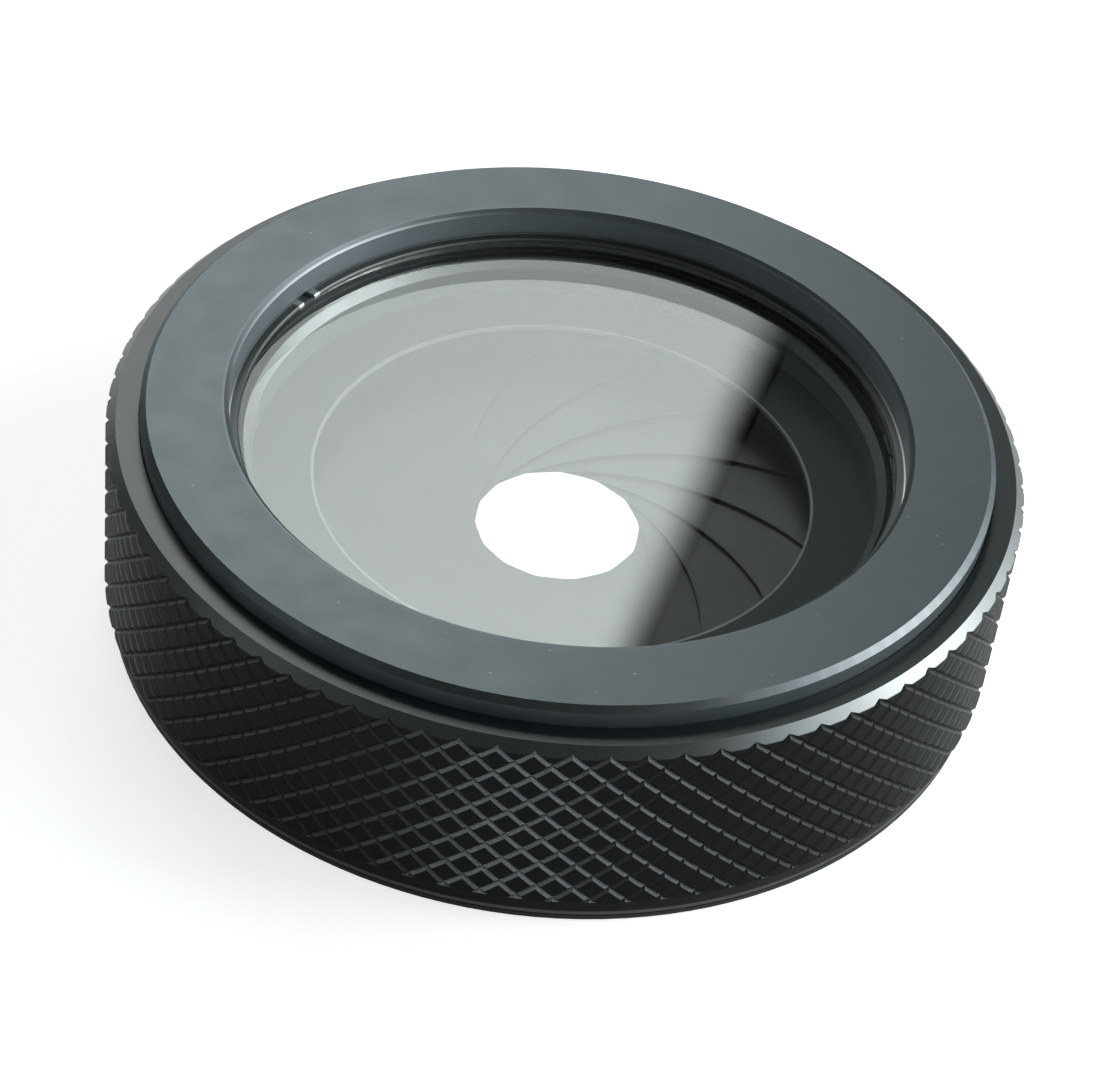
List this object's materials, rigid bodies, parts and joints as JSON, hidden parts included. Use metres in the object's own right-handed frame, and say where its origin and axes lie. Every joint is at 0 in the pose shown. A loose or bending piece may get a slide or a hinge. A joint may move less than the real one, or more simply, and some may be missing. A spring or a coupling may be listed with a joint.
{
  "type": "iris diaphragm",
  "caption": "Iris diaphragm with a knurled control ring, thin pivoting blades behind a flat glass window, a plain bore at the front and a female thread at the rear.",
  "frame": {"origin": "centre of the rear face, on the optical axis", "axes": "+Z along the optical axis, out of the front window; X and Y lie in the rear face"},
  "size_m": [0.0624, 0.0624, 0.017],
  "materials": {
    "satin_black_anodise": "satin",
    "black_anodise_rear": "satin",
    "black_anodise_knurl": "knurled satin",
    "window_glass": "polished",
    "retainer_bright": "turned",
    "gasket_rubber": "matte",
    "blackened_plate": "matte",
    "screw_steel": "satin",
    "washer_plastic": "matte",
    "blade_steel": "blackened",
    "stud_brass": "satin"
  },
  "bodies": {
    "housing": {"housing": "satin_black_anodise", "rear_plate": "black_anodise_rear", "window_glass": "window_glass", "window_retainer": "retainer_bright", "window_gasket": "gasket_rubber", "iris_cover": "blackened_plate", "pivot_ring": "blackened_plate", "plate_screws": "screw_steel", "blade_support": "blackened_plate", "blade_spacer": "blackened_plate", "top_washer": "washer_plastic", "bottom_washer": "washer_plastic"},
    "control_ring": {"knurled_ring": "black_anodise_knurl", "cam_ring": "blackened_plate"},
    "blade_01": {"blade_01": "blade_steel", "blade_studs_01": "stud_brass"},
    "blade_02": {"blade_02": "blade_steel", "blade_studs_02": "stud_brass"},
    "blade_03": {"blade_03": "blade_steel", "blade_studs_03": "stud_brass"},
    "blade_04": {"blade_04": "blade_steel", "blade_studs_04": "stud_brass"},
    "blade_05": {"blade_05": "blade_steel", "blade_studs_05": "stud_brass"},
    "blade_06": {"blade_06": "blade_steel", "blade_studs_06": "stud_brass"},
    "blade_07": {"blade_07": "blade_steel", "blade_studs_07": "stud_brass"},
    "blade_08": {"blade_08": "blade_steel", "blade_studs_08": "stud_brass"},
    "blade_09": {"blade_09": "blade_steel", "blade_studs_09": "stud_brass"},
    "blade_10": {"blade_10": "blade_steel", "blade_studs_10": "stud_brass"},
    "blade_11": {"blade_11": "blade_steel", "blade_studs_11": "stud_brass"},
    "blade_12": {"blade_12": "blade_steel", "blade_studs_12": "stud_brass"},
    "blade_13": {"blade_13": "blade_steel", "blade_studs_13": "stud_brass"},
    "blade_14": {"blade_14": "blade_steel", "blade_studs_14": "stud_brass"}
  },
  "joints": [
    {"name": "control_ring_turn", "type": "hinge", "parent": "housing", "child": "control_ring", "pos_m": [0, 0, 0.008], "axis": [0, 0, 1], "range_deg": [-13.5, 48.2]},
    {"name": "blade_01_swing", "type": "hinge", "parent": "housing", "child": "blade_01", "pos_m": [0.02441, 0.00803, 0.0083], "axis": [0, 0, 1], "range_deg": [-26.6, 7.5]},
    {"name": "blade_02_swing", "type": "hinge", "parent": "housing", "child": "blade_02", "pos_m": [0.01851, 0.01783, 0.0083], "axis": [0, 0, 1], "range_deg": [-26.6, 7.5]},
    {"name": "blade_03_swing", "type": "hinge", "parent": "housing", "child": "blade_03", "pos_m": [0.00895, 0.02409, 0.0083], "axis": [0, 0, 1], "range_deg": [-26.6, 7.5]},
    {"name": "blade_04_swing", "type": "hinge", "parent": "housing", "child": "blade_04", "pos_m": [-0.00239, 0.02559, 0.0083], "axis": [0, 0, 1], "range_deg": [-26.6, 7.5]},
    {"name": "blade_05_swing", "type": "hinge", "parent": "housing", "child": "blade_05", "pos_m": [-0.01326, 0.02202, 0.0083], "axis": [0, 0, 1], "range_deg": [-26.6, 7.5]},
    {"name": "blade_06_swing", "type": "hinge", "parent": "housing", "child": "blade_06", "pos_m": [-0.0215, 0.01408, 0.0083], "axis": [0, 0, 1], "range_deg": [-26.6, 7.5]},
    {"name": "blade_07_swing", "type": "hinge", "parent": "housing", "child": "blade_07", "pos_m": [-0.02548, 0.00336, 0.0083], "axis": [0, 0, 1], "range_deg": [-26.6, 7.5]},
    {"name": "blade_08_swing", "type": "hinge", "parent": "housing", "child": "blade_08", "pos_m": [-0.02441, -0.00803, 0.0083], "axis": [0, 0, 1], "range_deg": [-26.6, 7.5]},
    {"name": "blade_09_swing", "type": "hinge", "parent": "housing", "child": "blade_09", "pos_m": [-0.01851, -0.01783, 0.0083], "axis": [0, 0, 1], "range_deg": [-26.6, 7.5]},
    {"name": "blade_10_swing", "type": "hinge", "parent": "housing", "child": "blade_10", "pos_m": [-0.00895, -0.02409, 0.0083], "axis": [0, 0, 1], "range_deg": [-26.6, 7.5]},
    {"name": "blade_11_swing", "type": "hinge", "parent": "housing", "child": "blade_11", "pos_m": [0.00239, -0.02559, 0.0083], "axis": [0, 0, 1], "range_deg": [-26.6, 7.5]},
    {"name": "blade_12_swing", "type": "hinge", "parent": "housing", "child": "blade_12", "pos_m": [0.01326, -0.02202, 0.0083], "axis": [0, 0, 1], "range_deg": [-26.6, 7.5]},
    {"name": "blade_13_swing", "type": "hinge", "parent": "housing", "child": "blade_13", "pos_m": [0.0215, -0.01408, 0.0083], "axis": [0, 0, 1], "range_deg": [-26.6, 7.5]},
    {"name": "blade_14_swing", "type": "hinge", "parent": "housing", "child": "blade_14", "pos_m": [0.02548, -0.00336, 0.0083], "axis": [0, 0, 1], "range_deg": [-26.6, 7.5]}
  ],
  "couplings": [
    {"joint": "blade_01_swing", "follows": "control_ring_turn", "ratio": -0.55},
    {"joint": "blade_02_swing", "follows": "control_ring_turn", "ratio": -0.55},
    {"joint": "blade_03_swing", "follows": "control_ring_turn", "ratio": -0.55},
    {"joint": "blade_04_swing", "follows": "control_ring_turn", "ratio": -0.55},
    {"joint": "blade_05_swing", "follows": "control_ring_turn", "ratio": -0.55},
    {"joint": "blade_06_swing", "follows": "control_ring_turn", "ratio": -0.55},
    {"joint": "blade_07_swing", "follows": "control_ring_turn", "ratio": -0.55},
    {"joint": "blade_08_swing", "follows": "control_ring_turn", "ratio": -0.55},
    {"joint": "blade_09_swing", "follows": "control_ring_turn", "ratio": -0.55},
    {"joint": "blade_10_swing", "follows": "control_ring_turn", "ratio": -0.55},
    {"joint": "blade_11_swing", "follows": "control_ring_turn", "ratio": -0.55},
    {"joint": "blade_12_swing", "follows": "control_ring_turn", "ratio": -0.55},
    {"joint": "blade_13_swing", "follows": "control_ring_turn", "ratio": -0.55},
    {"joint": "blade_14_swing", "follows": "control_ring_turn", "ratio": -0.55}
  ]
}
